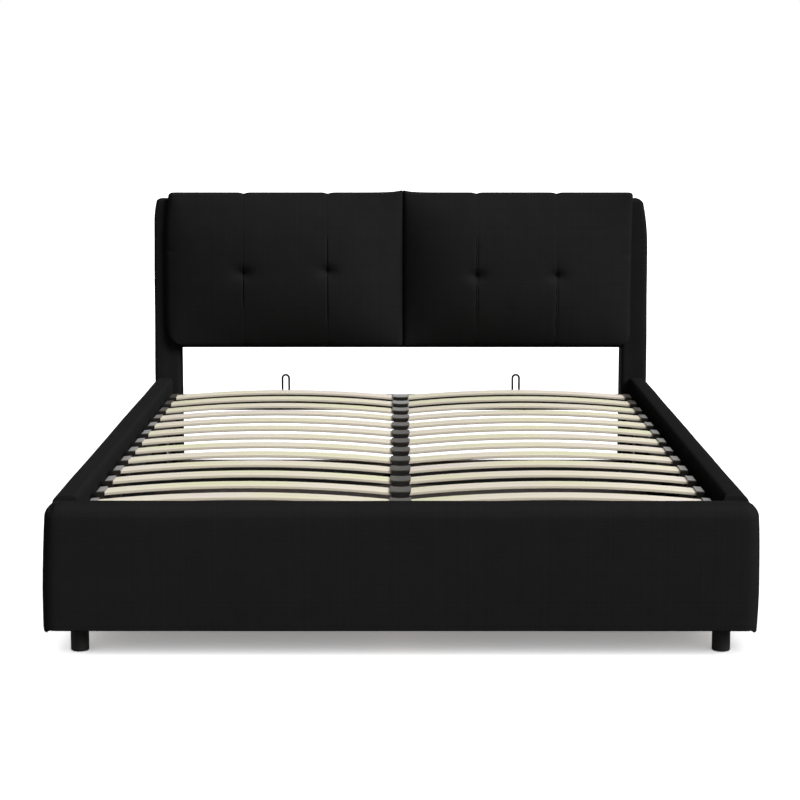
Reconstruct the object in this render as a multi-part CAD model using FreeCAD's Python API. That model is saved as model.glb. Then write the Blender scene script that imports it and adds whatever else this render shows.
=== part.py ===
import FreeCAD, Part
import math
import os

Vector = FreeCAD.Vector

# An upholstered storage bed with a slatted platform that lifts on gas struts, in millimetres.
# X runs across the bed, +Y points to the headboard and +Z up.
# The origin is on the floor, midway along the bed's length and width.

# Whole bed
frame_width = 1655.0            # across the outer faces of the side rails and the posts
base_length = 2154.0            # from the foot panel's outer face to the front of the posts
ground_clearance = 65.0         # floor to the underside of the padded frame
lining = 2.0                    # cloth on the faces of the padded boards that have no foam
soft_gap = 0.3                  # between a cushion and what it lies against
fit_gap = 0.3                   # round slats, pegs, wire and screws in their holes
running_gap = 0.05              # round pins that turn and rods that slide
overrun = 5.0                   # how far a cut runs past the face that it opens
same_place = 0.01               # places closer than this count as one

# Side rails
rail_height = 316.0
rail_board_thickness = 28.0
rail_pad = 30.0
rail_top_pad = 24.0
rail_outer_radius = 22.0
rail_inner_radius = 12.0

# Foot panel
foot_overhang = 20.0            # how far each end stands out past the side rail
foot_height = 303.0
foot_board_thickness = 28.0
foot_pad = 32.0
foot_top_pad = 26.0
foot_end_pad = 34.0
foot_corner_radius = 32.0
foot_inner_radius = 10.0

# Headboard posts
post_width = 86.0
post_depth = 100.0
post_height = 917.0             # from the underside of the frame
post_side_pad = 20.0
post_front_pad = 30.0
post_back_pad = 10.0
post_top_pad = 40.0
post_edge_radius = 12.0
post_corner_radius = 14.0       # the rounds at the top corners
post_lean = 12.0                # how far the outer side leans in below that round
post_lean_height = 100.0

# Headboard panel and cushions
panel_drop = 497.0              # from the top of the posts to the panel's lower edge
panel_top_gap = 10.0
panel_thickness = 66.0
cushion_height = 515.0
cushion_thickness = 104.0
cushion_rise = 23.0             # how far the cushions stand above the posts
cushion_overlap = 30.0          # how far the cushions cover each post
cushion_draw = 9.0              # how far the sides are drawn in
cushion_panels = 3
cushion_side_share = 0.55       # padding left at a cushion's side, of the thickness there
cushion_height_shares = (0.0, 0.04, 0.15, 0.40, 0.50, 0.60, 0.85, 0.96, 1.0)
cushion_depth_shares = (0.42, 0.66, 0.88, 0.99, 1.0, 0.99, 0.88, 0.66, 0.42)
cushion_inset_shares = (1.0, 0.4, 0.0, 0.3, 0.4, 0.3, 0.0, 0.4, 1.0)
cushion_channel_shares = (0.94, 0.88, 0.82, 0.78, 0.62, 0.78, 0.82, 0.88, 0.94)

# Feet
foot_diameter = 44.0
foot_edge_radius = 3.0
front_foot_inset = 57.5         # from the side rail's outer face to the middle of a front foot
front_foot_setback = 72.0       # from the foot panel's outer face
centre_feet_count = 2

# Storage floor
batten_width = 25.0
batten_height = 20.0
beam_width = 50.0
floor_thickness = 8.0
cross_rail_height = 38.0
cross_rail_thickness = 30.0

# Lifting platform
platform_side_gap = 17.5        # between the platform and each side rail
platform_foot_gap = 18.0
platform_head_gap = 79.0        # from the platform's head end to the front of the posts
slat_drop = 31.0                # from the top of the side rails to the ends of the slats
tube_height = 50.0
tube_width = 25.0
centre_tube_width = 40.0
tube_wall = 2.0
cross_tube_share = 0.3          # place of the cross tubes, of the way from the foot tube to the head tube

# Slats, two to a row
slat_rows = 13
slat_width = 60.0
slat_thickness = 9.0
slat_bow = 19.0                 # rise of the middle of a slat over its ends
slat_edge_radius = 2.5
first_slat_offset = 48.0        # from the platform's foot end to the middle of the first row
last_slat_offset = 147.0        # from the middle of the last row to the platform's head end

# Plastic slat holders
holder_floor = 3.0
holder_lip = 3.0
holder_side = 3.0
holder_length = 21.0            # along the slat, at the sides of the platform
holder_end_wall = 6.0
centre_holder_length = 52.0
centre_holder_web = 14.0        # between the two slats of a row
holder_radius = 2.0
peg_diameter = 10.0
peg_length = 9.0

# Mattress hoops
hoop_wire = 7.0
hoop_width = 29.0
hoop_height = 70.0              # above the head tube
hoop_seat = 14.0                # length of wire inside the tube
hoop_spread = 764.0             # between the middles of the two hoops

# Lift mechanism
lift_range = 36.0               # degrees from flat to fully open
hinge_setback = 130.0           # from the platform's head end to the hinge pins
hinge_rise = 20.0               # from the underside of the platform's tubes to the hinge pins
hinge_pin_diameter = 12.0
hinge_collar_diameter = 22.0
hinge_head_diameter = 18.0
hinge_head_thickness = 4.0
bracket_thickness = 3.0
bracket_width = 90.0
bracket_margin = 24.0           # plate above the hinge pin
bracket_foot_margin = 16.0      # plate below the strut's lower stud
bracket_corner_radius = 10.0
bracket_gap = 2.5               # between the bracket and the arm
bracket_screw_side_share = 0.3  # from the plate's middle, of its width
bracket_screw_rise_shares = (0.25, 0.62)  # from the lower stud, of its distance to the hinge pin
arm_thickness = 4.0
arm_height = 44.0
arm_eye_radius = 22.0
arm_spacer_length = 35.0
arm_spacer_shares = (0.33, 0.8)  # places of the spacers, of the arm's length
arm_tab_width = 32.0
arm_tab_margin = 14.0           # plate below the strut's upper stud
strut_foot_rise = 22.0          # from the storage floor to the strut's lower stud
stud_drop = 22.0                # from the underside of the tubes to the strut's upper stud
stud_diameter = 10.0
stud_collar_diameter = 16.0
stud_washer_thickness = 2.5
strut_eye_thickness = 10.0
strut_eye_radius = 12.0
strut_tube_diameter = 20.0
strut_tube_wall = 2.0
strut_rod_diameter = 8.0
strut_gland_length = 10.0
strut_neck = 12.0               # bare rod that shows when the platform is down
strut_piston_length = 10.0

# Support angles under the platform's sides
angle_leg = 32.0
angle_drop = 30.0
angle_thickness = 3.0
angle_foot_gap = 40.0           # from the foot panel to the angle
angle_head_gap = 260.0          # from the angle to the hinge pins
angle_screws = 5

# Foot corner brackets
corner_leg = 60.0
corner_height = 80.0
corner_rise = 70.0              # above the underside of the frame
corner_thickness = 3.0
corner_screw_share = 0.66       # from the corner, of a leg's length
corner_screw_rise_shares = (0.25, 0.75)

# Screws and bolts
screw_diameter = 6.0
screw_length = 20.0
screw_head_diameter = 12.0
screw_head_thickness = 4.0
screw_head_radius = 1.5
bolt_diameter = 8.0
bolt_grip = 60.0                # length of the bolt inside the side rail
bolt_head_diameter = 14.0
bolt_head_thickness = 6.0
bolt_edge_gap = 80.0            # from the rail's lower and upper edges to a bolt

# Places that follow from the sizes
whole_length = base_length + post_depth
foot_y = -whole_length / 2
post_y = foot_y + base_length
back_y = post_y + post_depth
rail_thickness = rail_pad + rail_board_thickness + lining
foot_thickness = foot_pad + foot_board_thickness + lining
rail_outer_x = frame_width / 2
rail_inner_x = rail_outer_x - rail_thickness
rail_board_x = rail_inner_x + lining
foot_inner_y = foot_y + foot_thickness
foot_end_x = rail_outer_x + foot_overhang
under_z = ground_clearance
rail_top_z = under_z + rail_height
foot_top_z = under_z + foot_height
post_top_z = under_z + post_height
post_inner_x = rail_outer_x - post_width
post_core_x = post_inner_x + post_side_pad
post_core_back_y = back_y - post_back_pad
floor_z = under_z + batten_height
floor_top_z = floor_z + floor_thickness
cross_rail_y = post_y - cross_rail_thickness

platform_x = rail_inner_x - platform_side_gap
platform_foot_y = foot_inner_y + platform_foot_gap
platform_head_y = post_y - platform_head_gap
slat_end_z = rail_top_z - slat_drop
tube_top_z = slat_end_z - slat_thickness - holder_floor
tube_z = tube_top_z - tube_height
side_tube_x = platform_x - tube_width
slat_inner_x = centre_holder_web / 2
slat_outer_x = platform_x - holder_end_wall
slat_chord = slat_outer_x - slat_inner_x
slat_middle_x = (slat_inner_x + slat_outer_x) / 2
slat_radius = (slat_chord ** 2 / 4 + slat_bow ** 2) / (2 * slat_bow)
slat_centre_z = slat_end_z + slat_bow - slat_radius
slat_first_y = platform_foot_y + first_slat_offset
slat_last_y = platform_head_y - last_slat_offset
slat_pitch = (slat_last_y - slat_first_y) / (slat_rows - 1)
slat_places = [slat_first_y + row * slat_pitch for row in range(slat_rows)]

hinge_y = platform_head_y - hinge_setback
hinge_z = tube_z + hinge_rise
strut_foot_z = floor_top_z + strut_foot_rise
strut_reach = hinge_z - strut_foot_z            # the hinge is as far from one stud as from the other
strut_top_z = tube_z - stud_drop
strut_top_y = hinge_y - math.sqrt(strut_reach ** 2 - (hinge_z - strut_top_z) ** 2)
strut_x = platform_x - tube_width / 2
bracket_x = rail_inner_x - bracket_thickness
arm_outer_x = bracket_x - bracket_gap
arm_x = arm_outer_x - arm_thickness


def block(x0, x1, y0, y1, z0, z1):
    return Part.makeBox(x1 - x0, y1 - y0, z1 - z0, Vector(x0, y0, z0))


def rod(radius, start, end):
    axis = end - start
    return Part.makeCylinder(radius, axis.Length, start, axis)


def prism(edges, reach):
    return Part.Face(Part.Wire(edges)).extrude(reach)


def outline(points):
    return Part.makePolygon(points + points[:1]).Edges


def fused(shapes):
    return shapes[0].multiFuse(shapes[1:]).removeSplitter()


def mirrored(shape):
    return shape.mirror(Vector(0, 0, 0), Vector(1, 0, 0))


def edges_near(shape, **place):
    # The edges whose middle has each given coordinate.
    def there(edge):
        middle = edge.CenterOfMass
        return all(abs(getattr(middle, axis) - value) < same_place for axis, value in place.items())

    return [edge for edge in shape.Edges if there(edge)]


def drilled(shape, holes):
    for hole in holes:
        if shape.BoundBox.intersect(hole.BoundBox):
            shape = shape.cut(hole)
    return shape


def save(node, *shapes):
    whole = shapes[0] if len(shapes) == 1 else Part.makeCompound(list(shapes))
    whole.exportStep(os.path.join("parts", node + ".step"))


def save_pair(name, right):
    save("right_" + name, right)
    save("left_" + name, mirrored(right))


# Screws, each a place on a metal face and the direction in which it is driven
def screw(place, inward):
    head = rod(screw_head_diameter / 2, place - inward * screw_head_thickness, place)
    outer_face = min(head.Faces, key=lambda face: (face.CenterOfMass - place).dot(inward))
    head = head.makeFillet(screw_head_radius, outer_face.Edges)
    shank = rod(screw_diameter / 2, place, place + inward * screw_length)
    return head.fuse(shank)


def screw_hole(place, inward):
    start = place - inward * screw_head_thickness
    end = place + inward * (screw_length + fit_gap)
    return rod(screw_diameter / 2 + fit_gap, start, end)


angle_y = foot_inner_y + angle_foot_gap
angle_end_y = hinge_y - angle_head_gap
angle_top_z = tube_z - fit_gap
angle_screw_gap = (angle_end_y - angle_y) / angle_screws
angle_screw_z = angle_top_z - (angle_drop + angle_thickness) / 2
corner_z = under_z + corner_rise
corner_screw_heights = [corner_z + corner_height * share for share in corner_screw_rise_shares]

to_rail = Vector(1, 0, 0)
to_foot = Vector(0, -1, 0)
screw_places = []
for number in range(angle_screws):
    along = angle_y + (number + 1 / 2) * angle_screw_gap
    screw_places.append((Vector(rail_inner_x - angle_thickness, along, angle_screw_z), to_rail))
for height in corner_screw_heights:
    along = foot_inner_y + corner_leg * corner_screw_share
    screw_places.append((Vector(rail_inner_x - corner_thickness, along, height), to_rail))
    across = rail_inner_x - corner_leg * corner_screw_share
    screw_places.append((Vector(across, foot_inner_y + corner_thickness, height), to_foot))
for rise_share in bracket_screw_rise_shares:
    for side in (-1, 1):
        height = strut_foot_z + (hinge_z - strut_foot_z) * rise_share
        along = hinge_y + side * bracket_width * bracket_screw_side_share
        screw_places.append((Vector(bracket_x, along, height), to_rail))
screw_holes = [screw_hole(*spot) for spot in screw_places]

# Bed bolts, driven from the back of each post into the end of the side rail
bolt_x = rail_board_x + rail_board_thickness / 2
bolt_end_y = post_y - bolt_grip
bolts = []
bolt_holes = []
for height in (under_z + bolt_edge_gap, rail_top_z - bolt_edge_gap):
    seat = Vector(bolt_x, post_core_back_y, height)
    tip = Vector(bolt_x, bolt_end_y, height)
    head_end = Vector(bolt_x, post_core_back_y + bolt_head_thickness, height)
    mouth = Vector(bolt_x, back_y + overrun, height)
    bolts.append(fused([rod(bolt_diameter / 2, seat, tip), rod(bolt_head_diameter / 2, seat, head_end)]))
    bolt_holes.append(rod(bolt_diameter / 2 + fit_gap, seat, tip - Vector(0, fit_gap, 0)))
    bolt_holes.append(rod(bolt_head_diameter / 2 + fit_gap, seat, mouth))


# The padded frame
def rail():
    board = block(rail_board_x, rail_board_x + rail_board_thickness, foot_inner_y, post_y,
                  under_z, rail_top_z - rail_top_pad)
    cover = block(rail_inner_x, rail_outer_x, foot_inner_y, post_y, under_z, rail_top_z)
    cover = cover.makeFillet(rail_outer_radius, edges_near(cover, x=rail_outer_x, z=rail_top_z))
    cover = cover.makeFillet(rail_inner_radius, edges_near(cover, x=rail_inner_x, z=rail_top_z))
    cover = cover.cut(board)
    return drilled(board, screw_holes + bolt_holes), drilled(cover, screw_holes)


def foot_panel():
    board_end_x = foot_end_x - foot_end_pad
    board = block(-board_end_x, board_end_x, foot_y + foot_pad, foot_inner_y - lining,
                  under_z, foot_top_z - foot_top_pad)
    cover = block(-foot_end_x, foot_end_x, foot_y, foot_inner_y, under_z, foot_top_z)
    round_edges = edges_near(cover, y=foot_y, z=foot_top_z)
    for end_x in (-foot_end_x, foot_end_x):
        round_edges += edges_near(cover, x=end_x, y=foot_y)
        round_edges += edges_near(cover, x=end_x, z=foot_top_z)
    cover = cover.makeFillet(foot_corner_radius, round_edges)
    cover = cover.makeFillet(foot_inner_radius, edges_near(cover, y=foot_inner_y, z=foot_top_z))
    cover = cover.cut(board)
    holes = screw_holes + [mirrored(hole) for hole in screw_holes]
    return drilled(board, holes), drilled(cover, holes)


def post_outline():
    # Up the outer side, in along the lean, round the top corner, across and down the inner side.
    tilt = 2 * math.atan(post_lean / post_lean_height)
    lean_end = Vector(rail_outer_x - post_lean, post_y,
                      post_top_z - post_corner_radius * (1 - math.sin(tilt)))
    lean_start = Vector(rail_outer_x, post_y, lean_end.z - post_lean_height)
    lean_radius = post_lean_height / math.sin(tilt)
    lean_middle = Vector(rail_outer_x - lean_radius * (1 - math.cos(tilt / 2)), post_y,
                         lean_start.z + lean_radius * math.sin(tilt / 2))
    centre = lean_end - Vector(math.cos(tilt), 0, math.sin(tilt)) * post_corner_radius
    bend = (tilt + math.pi / 2) / 2
    round_middle = centre + Vector(math.cos(bend), 0, math.sin(bend)) * post_corner_radius
    round_end = centre + Vector(0, 0, post_corner_radius)
    inner = Vector(post_inner_x + post_corner_radius, post_y, post_top_z - post_corner_radius)
    inner_top = inner + Vector(0, 0, post_corner_radius)
    inner_middle = inner + Vector(-1, 0, 1).normalize() * post_corner_radius
    inner_side = inner - Vector(post_corner_radius, 0, 0)
    inner_foot = Vector(post_inner_x, post_y, under_z)
    outer_foot = Vector(rail_outer_x, post_y, under_z)
    return [
        Part.makeLine(outer_foot, lean_start),
        Part.Arc(lean_start, lean_middle, lean_end).toShape(),
        Part.Arc(lean_end, round_middle, round_end).toShape(),
        Part.makeLine(round_end, inner_top),
        Part.Arc(inner_top, inner_middle, inner_side).toShape(),
        Part.makeLine(inner_side, inner_foot),
        Part.makeLine(inner_foot, outer_foot),
    ]


def post():
    core = block(post_core_x, rail_outer_x - post_side_pad, post_y + post_front_pad, post_core_back_y,
                 under_z, post_top_z - post_top_pad)
    cover = prism(post_outline(), Vector(0, post_depth, 0))
    round_edges = [edge for edge in cover.Edges
                   if edge.BoundBox.YLength < same_place < edge.BoundBox.ZLength]
    round_edges += edges_near(cover, y=post_y, z=post_top_z)
    round_edges += edges_near(cover, y=back_y, z=post_top_z)
    cover = cover.makeFillet(post_edge_radius, round_edges)
    cover = cover.cut(core)
    return drilled(core, bolt_holes), drilled(cover, bolt_holes)


def cushion(x_from, x_to):
    # A stack of level outlines: a flat back, straight sides and one crowned arc for each sewn panel.
    back = post_y - soft_gap
    lower = post_top_z + cushion_rise - cushion_height
    panel_width = (x_to - x_from) / cushion_panels
    wires = []
    for height_share, depth_share, inset_share, channel_share in zip(
            cushion_height_shares, cushion_depth_shares, cushion_inset_shares, cushion_channel_shares):
        height = lower + cushion_height * height_share
        depth = cushion_thickness * depth_share
        inset = cushion_draw * inset_share
        front = [Vector(x_from + inset, back - depth * cushion_side_share, height)]
        for number in range(1, cushion_panels):
            front.append(Vector(x_from + panel_width * number, back - depth * channel_share, height))
        front.append(Vector(x_to - inset, back - depth * cushion_side_share, height))
        first_back = Vector(x_from + inset, back, height)
        last_back = Vector(x_to - inset, back, height)
        edges = [Part.makeLine(first_back, front[0])]
        for start, end in zip(front, front[1:]):
            crown = Vector((start.x + end.x) / 2, back - depth, height)
            edges.append(Part.Arc(start, crown, end).toShape())
        edges.append(Part.makeLine(front[-1], last_back))
        edges.append(Part.makeLine(last_back, first_back))
        wires.append(Part.Wire(edges))
    return Part.makeLoft(wires, True, False)


rail_board, rail_cover = rail()
foot_board, foot_cover = foot_panel()
post_core, post_cover = post()
headboard_panel = block(-post_inner_x, post_inner_x, post_y, post_y + panel_thickness,
                        post_top_z - panel_drop, post_top_z - panel_top_gap)
cushion_end_x = post_inner_x + cushion_overlap
right_cushion = cushion(soft_gap, cushion_end_x)
cross_rail = block(-rail_inner_x, rail_inner_x, cross_rail_y, post_y, under_z, under_z + cross_rail_height)


# Feet
def foot(x, y):
    leg = rod(foot_diameter / 2, Vector(x, y, 0), Vector(x, y, under_z))
    return leg.makeFillet(foot_edge_radius, edges_near(leg, z=0))


front_foot_x = rail_outer_x - front_foot_inset
rear_foot_x = rail_outer_x - post_width / 2
rear_foot_y = post_y + post_depth / 2
front_foot = foot(front_foot_x, foot_y + front_foot_setback)
rear_foot = foot(rear_foot_x, rear_foot_y)
beam_length = cross_rail_y - foot_inner_y
centre_feet = [foot(0, foot_inner_y + beam_length * (number + 1) / (centre_feet_count + 1))
               for number in range(centre_feet_count)]

# Storage floor
batten = block(rail_inner_x - batten_width, rail_inner_x, foot_inner_y, cross_rail_y, under_z, floor_z)
centre_beam = block(-beam_width / 2, beam_width / 2, foot_inner_y, cross_rail_y, under_z, floor_z)
floor_seam_y = (foot_inner_y + cross_rail_y) / 2
floor_x = rail_inner_x - fit_gap
front_floor = block(-floor_x, floor_x, foot_inner_y + fit_gap, floor_seam_y - fit_gap, floor_z, floor_top_z)
rear_floor = block(-floor_x, floor_x, floor_seam_y + fit_gap, cross_rail_y - fit_gap, floor_z, floor_top_z)


# Slats: an arc in the XZ plane, seen here for the right half
def slat_height(x):
    return slat_centre_z + math.sqrt(slat_radius ** 2 - (x - slat_middle_x) ** 2)


def slat_body(x0, x1, width, slack):
    # The slat between two planes, grown by the slack above and below it.
    def arc(radius):
        centre = Vector(slat_middle_x, -width / 2, slat_centre_z)

        def on_arc(x):
            return centre + Vector(x - slat_middle_x, 0, math.sqrt(radius ** 2 - (x - slat_middle_x) ** 2))

        return Part.Arc(on_arc(x0), on_arc((x0 + x1) / 2), on_arc(x1)).toShape()

    upper = arc(slat_radius + slack)
    lower = arc(slat_radius - slat_thickness - slack)
    starts = Part.makeLine(lower.firstVertex().Point, upper.firstVertex().Point)
    ends = Part.makeLine(upper.lastVertex().Point, lower.lastVertex().Point)
    return prism(Part.__sortEdges__([lower, starts, upper, ends]), Vector(0, width, 0))


def slat():
    # A section with rounded edges, turned about the middle of the slat's arc.
    radius = slat_edge_radius
    half_turn = math.asin((slat_chord / 2 - fit_gap) / slat_radius)
    centre = Vector(slat_middle_x, 0, slat_centre_z)
    outward = Vector(-math.sin(half_turn), 0, math.cos(half_turn))

    def spot(rise, across):
        return centre + outward * (slat_radius - slat_thickness / 2 + rise) + Vector(0, across, 0)

    rise, side = slat_thickness / 2 - radius, slat_width / 2 - radius
    bulge = radius * math.sqrt(1 / 2)
    edges = []
    for up, out in ((1, 1), (-1, 1), (-1, -1), (1, -1)):
        corner = [spot(up * (rise + radius), out * side),
                  spot(up * (rise + bulge), out * (side + bulge)),
                  spot(up * rise, out * (side + radius))]
        edges.append(Part.Arc(*corner).toShape())
    edges.append(Part.makeLine(spot(rise, side + radius), spot(-rise, side + radius)))
    edges.append(Part.makeLine(spot(rise, -side - radius), spot(-rise, -side - radius)))
    edges.append(Part.makeLine(spot(rise + radius, side), spot(rise + radius, -side)))
    edges.append(Part.makeLine(spot(-rise - radius, side), spot(-rise - radius, -side)))
    section = Part.Face(Part.Wire(Part.__sortEdges__(edges)))
    return section.revolve(centre, Vector(0, 1, 0), math.degrees(2 * half_turn))


def peg(x):
    return rod(peg_diameter / 2, Vector(x, 0, tube_top_z), Vector(x, 0, tube_top_z - peg_length))


def peg_hole(x, y):
    return rod(peg_diameter / 2 + fit_gap, Vector(x, y, tube_top_z + overrun),
               Vector(x, y, tube_top_z - tube_height / 2))


holder_width = slat_width + 2 * (holder_side + fit_gap)
pocket_width = slat_width + 2 * fit_gap
holder_back = Vector(0, -holder_width / 2, 0)


def side_holder():
    mouth_x = platform_x - holder_length
    lip_z = slat_end_z + fit_gap + holder_lip
    mouth_z = slat_height(mouth_x) + fit_gap + holder_lip
    points = [Vector(mouth_x, 0, tube_top_z), Vector(platform_x, 0, tube_top_z),
              Vector(platform_x, 0, lip_z), Vector(mouth_x, 0, mouth_z)]
    shell = prism(outline([point + holder_back for point in points]), Vector(0, holder_width, 0))
    shell = shell.makeFillet(holder_radius, edges_near(shell, x=platform_x, z=lip_z))
    pocket = slat_body(mouth_x - overrun, slat_outer_x, pocket_width, fit_gap)
    return shell.cut(pocket).fuse(peg(strut_x))


def centre_holder():
    mouth_x = centre_holder_length / 2
    seat_x = centre_tube_width / 2
    mouth_z = slat_height(mouth_x) + fit_gap + holder_lip
    middle_z = slat_end_z + fit_gap + holder_lip
    right = [Vector(seat_x, 0, tube_top_z), Vector(mouth_x, 0, mouth_z), Vector(slat_inner_x, 0, middle_z)]
    left = [Vector(-point.x, 0, point.z) for point in reversed(right)]
    shell = prism(outline([point + holder_back for point in right + left]), Vector(0, holder_width, 0))
    pocket = slat_body(slat_inner_x, mouth_x + overrun, pocket_width, fit_gap)
    return shell.cut(pocket).cut(mirrored(pocket)).fuse(peg(0))


def at_rows(shape):
    return [shape.translated(Vector(0, y, 0)) for y in slat_places]


right_slat = slat()
left_slat = mirrored(right_slat)
right_holders = at_rows(side_holder())
left_holders = [mirrored(holder) for holder in right_holders]
centre_holders = at_rows(centre_holder())


# Platform frame
def tube(x0, x1, y0, y1, along_x):
    shell = block(x0, x1, y0, y1, tube_z, tube_top_z)
    side_x, side_y = (-overrun, tube_wall) if along_x else (tube_wall, -overrun)
    bore = block(x0 + side_x, x1 - side_x, y0 + side_y, y1 - side_y,
                 tube_z + tube_wall, tube_top_z - tube_wall)
    return shell.cut(bore)


centre_tube_x = centre_tube_width / 2
head_tube_y = platform_head_y - tube_width
foot_tube_y = platform_foot_y + tube_width
cross_tube_y = foot_tube_y + (head_tube_y - foot_tube_y) * cross_tube_share
side_tube = tube(side_tube_x, platform_x, platform_foot_y, platform_head_y, False)
side_tube = drilled(side_tube, [peg_hole(strut_x, y) for y in slat_places])
head_tube = tube(-side_tube_x, side_tube_x, head_tube_y, platform_head_y, True)
foot_tube = tube(-side_tube_x, side_tube_x, platform_foot_y, foot_tube_y, True)
centre_tube = tube(-centre_tube_x, centre_tube_x, foot_tube_y, head_tube_y, False)
centre_tube = drilled(centre_tube, [peg_hole(0, y) for y in slat_places])
cross_tube = tube(centre_tube_x, side_tube_x, cross_tube_y, cross_tube_y + tube_width, True)


# Mattress hoops: two legs of wire joined by a half circle, standing in holes in the head tube
def hoop(middle_x):
    bend_radius = (hoop_width - hoop_wire) / 2
    y = head_tube_y + tube_width / 2
    foot_z = tube_top_z - hoop_seat
    bend_z = tube_top_z + hoop_height - hoop_wire / 2 - bend_radius
    first, second = middle_x - bend_radius, middle_x + bend_radius
    path = [
        Part.makeLine(Vector(first, y, foot_z), Vector(first, y, bend_z)),
        Part.Arc(Vector(first, y, bend_z), Vector(middle_x, y, bend_z + bend_radius),
                 Vector(second, y, bend_z)).toShape(),
        Part.makeLine(Vector(second, y, bend_z), Vector(second, y, foot_z)),
    ]
    ring = Part.Wire(Part.makeCircle(hoop_wire / 2, Vector(first, y, foot_z), Vector(0, 0, 1)))
    wire = Part.Wire(path).makePipeShell([ring], True, False)
    holes = [rod(hoop_wire / 2 + fit_gap, Vector(x, y, tube_top_z + overrun), Vector(x, y, foot_z))
             for x in (first, second)]
    return wire, holes


right_hoop, right_hoop_holes = hoop(hoop_spread / 2)
left_hoop, left_hoop_holes = hoop(-hoop_spread / 2)
head_tube = drilled(head_tube, right_hoop_holes + left_hoop_holes)

# Lift mechanism, right side. Both struts stand in a plane under the side tube.
eye_outer_x = strut_x + strut_eye_thickness / 2
eye_inner_x = strut_x - strut_eye_thickness / 2
stud_end_x = eye_inner_x - fit_gap - stud_washer_thickness
strut_foot = Vector(strut_x, hinge_y, strut_foot_z)
strut_top = Vector(strut_x, strut_top_y, strut_top_z)
strut_length = (strut_top - strut_foot).Length
strut_line = (strut_top - strut_foot).normalize()


def cross_rod(radius, x0, x1, y, z):
    return rod(radius, Vector(x0, y, z), Vector(x1, y, z))


def stud(plate_x, y, z):
    # A shouldered stud that stands inwards from a plate, with a washer on its end.
    return [
        cross_rod(stud_collar_diameter / 2, eye_outer_x + fit_gap, plate_x, y, z),
        cross_rod(stud_diameter / 2, stud_end_x, plate_x, y, z),
        cross_rod(stud_collar_diameter / 2, stud_end_x, eye_inner_x - fit_gap, y, z),
    ]


def lift_bracket():
    plate = block(bracket_x, rail_inner_x, hinge_y - bracket_width / 2, hinge_y + bracket_width / 2,
                  strut_foot_z - bracket_foot_margin, hinge_z + bracket_margin)
    corners = [edge for edge in plate.Edges if edge.BoundBox.XLength > bracket_thickness / 2]
    plate = plate.makeFillet(bracket_corner_radius, corners)
    head_x = arm_x - fit_gap
    pieces = [plate,
              cross_rod(hinge_collar_diameter / 2, arm_outer_x + fit_gap, bracket_x, hinge_y, hinge_z),
              cross_rod(hinge_pin_diameter / 2, head_x, bracket_x, hinge_y, hinge_z),
              cross_rod(hinge_head_diameter / 2, head_x - hinge_head_thickness, head_x, hinge_y, hinge_z)]
    pieces += stud(bracket_x, hinge_y, strut_foot_z)
    return drilled(fused(pieces), screw_holes)


def lift_arm():
    far_y = strut_top_y - arm_tab_width / 2
    low_z = hinge_z - arm_height / 2
    high_z = hinge_z + arm_height / 2
    strip = block(arm_x, arm_outer_x, far_y, hinge_y, low_z, high_z)
    eye = cross_rod(arm_eye_radius, arm_x, arm_outer_x, hinge_y, hinge_z)
    tab = block(arm_x, arm_outer_x, far_y, far_y + arm_tab_width, strut_top_z - arm_tab_margin, hinge_z)
    pieces = [strip, eye, tab]
    for share in arm_spacer_shares:
        middle_y = hinge_y + (far_y - hinge_y) * share
        pieces.append(block(platform_x, arm_x, middle_y - arm_spacer_length / 2,
                            middle_y + arm_spacer_length / 2, tube_z, high_z))
    pieces += stud(arm_x, strut_top_y, strut_top_z)
    pin_hole = cross_rod(hinge_pin_diameter / 2 + running_gap, arm_x - overrun, arm_outer_x + overrun,
                         hinge_y, hinge_z)
    return fused(pieces).cut(pin_hole)


def steady_slide():
    # The strut is a chord of the circle that its upper stud swings on, so its true length follows a sine.
    # Finds the steady slide per radian of lift that stays nearest to that length, and the most it then
    # differs: at the best rate the error part of the way up is as large as the error at the top.
    lift = math.radians(lift_range)
    start = math.pi / 2 - math.asin((hinge_z - strut_top_z) / strut_reach)

    def error(turn, rate):
        return 2 * strut_reach * (math.sin((start + turn) / 2) - math.sin(start / 2)) - rate * turn

    slow = strut_reach * math.cos((start + lift) / 2)
    fast = strut_reach * math.cos(start / 2)
    while fast - slow > same_place:
        rate = (slow + fast) / 2
        worst = error(2 * math.acos(rate / strut_reach) - start, rate)
        if worst > -error(lift, rate):
            slow = rate
        else:
            fast = rate
    return rate, worst


slide_rate, slide_error = steady_slide()
strut_play = slide_error + fit_gap      # slot in the rod's eye, each way along the rod
print(f"strut slide {slide_rate:.2f} mm per radian of lift, error {slide_error:.2f} mm")


def along_strut(distance):
    return strut_foot + strut_line * distance


tube_start = strut_eye_radius - strut_tube_wall
tube_end = strut_length - strut_eye_radius - strut_play - strut_neck
bore_start = strut_eye_radius + strut_tube_wall
bore_end = tube_end - strut_gland_length
bore_radius = strut_tube_diameter / 2 - strut_tube_wall


def strut_cylinder():
    body = rod(strut_tube_diameter / 2, along_strut(tube_start), along_strut(tube_end))
    eye = cross_rod(strut_eye_radius, eye_inner_x, eye_outer_x, strut_foot.y, strut_foot.z)
    rod_bore = rod(strut_rod_diameter / 2 + running_gap, along_strut(bore_start),
                   along_strut(tube_end + overrun))
    cuts = [rod(bore_radius, along_strut(bore_start), along_strut(bore_end)), rod_bore,
            cross_rod(stud_diameter / 2 + running_gap, eye_inner_x - overrun, eye_outer_x + overrun,
                      strut_foot.y, strut_foot.z)]
    return fused([body, eye]).cut(fused(cuts))


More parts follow.
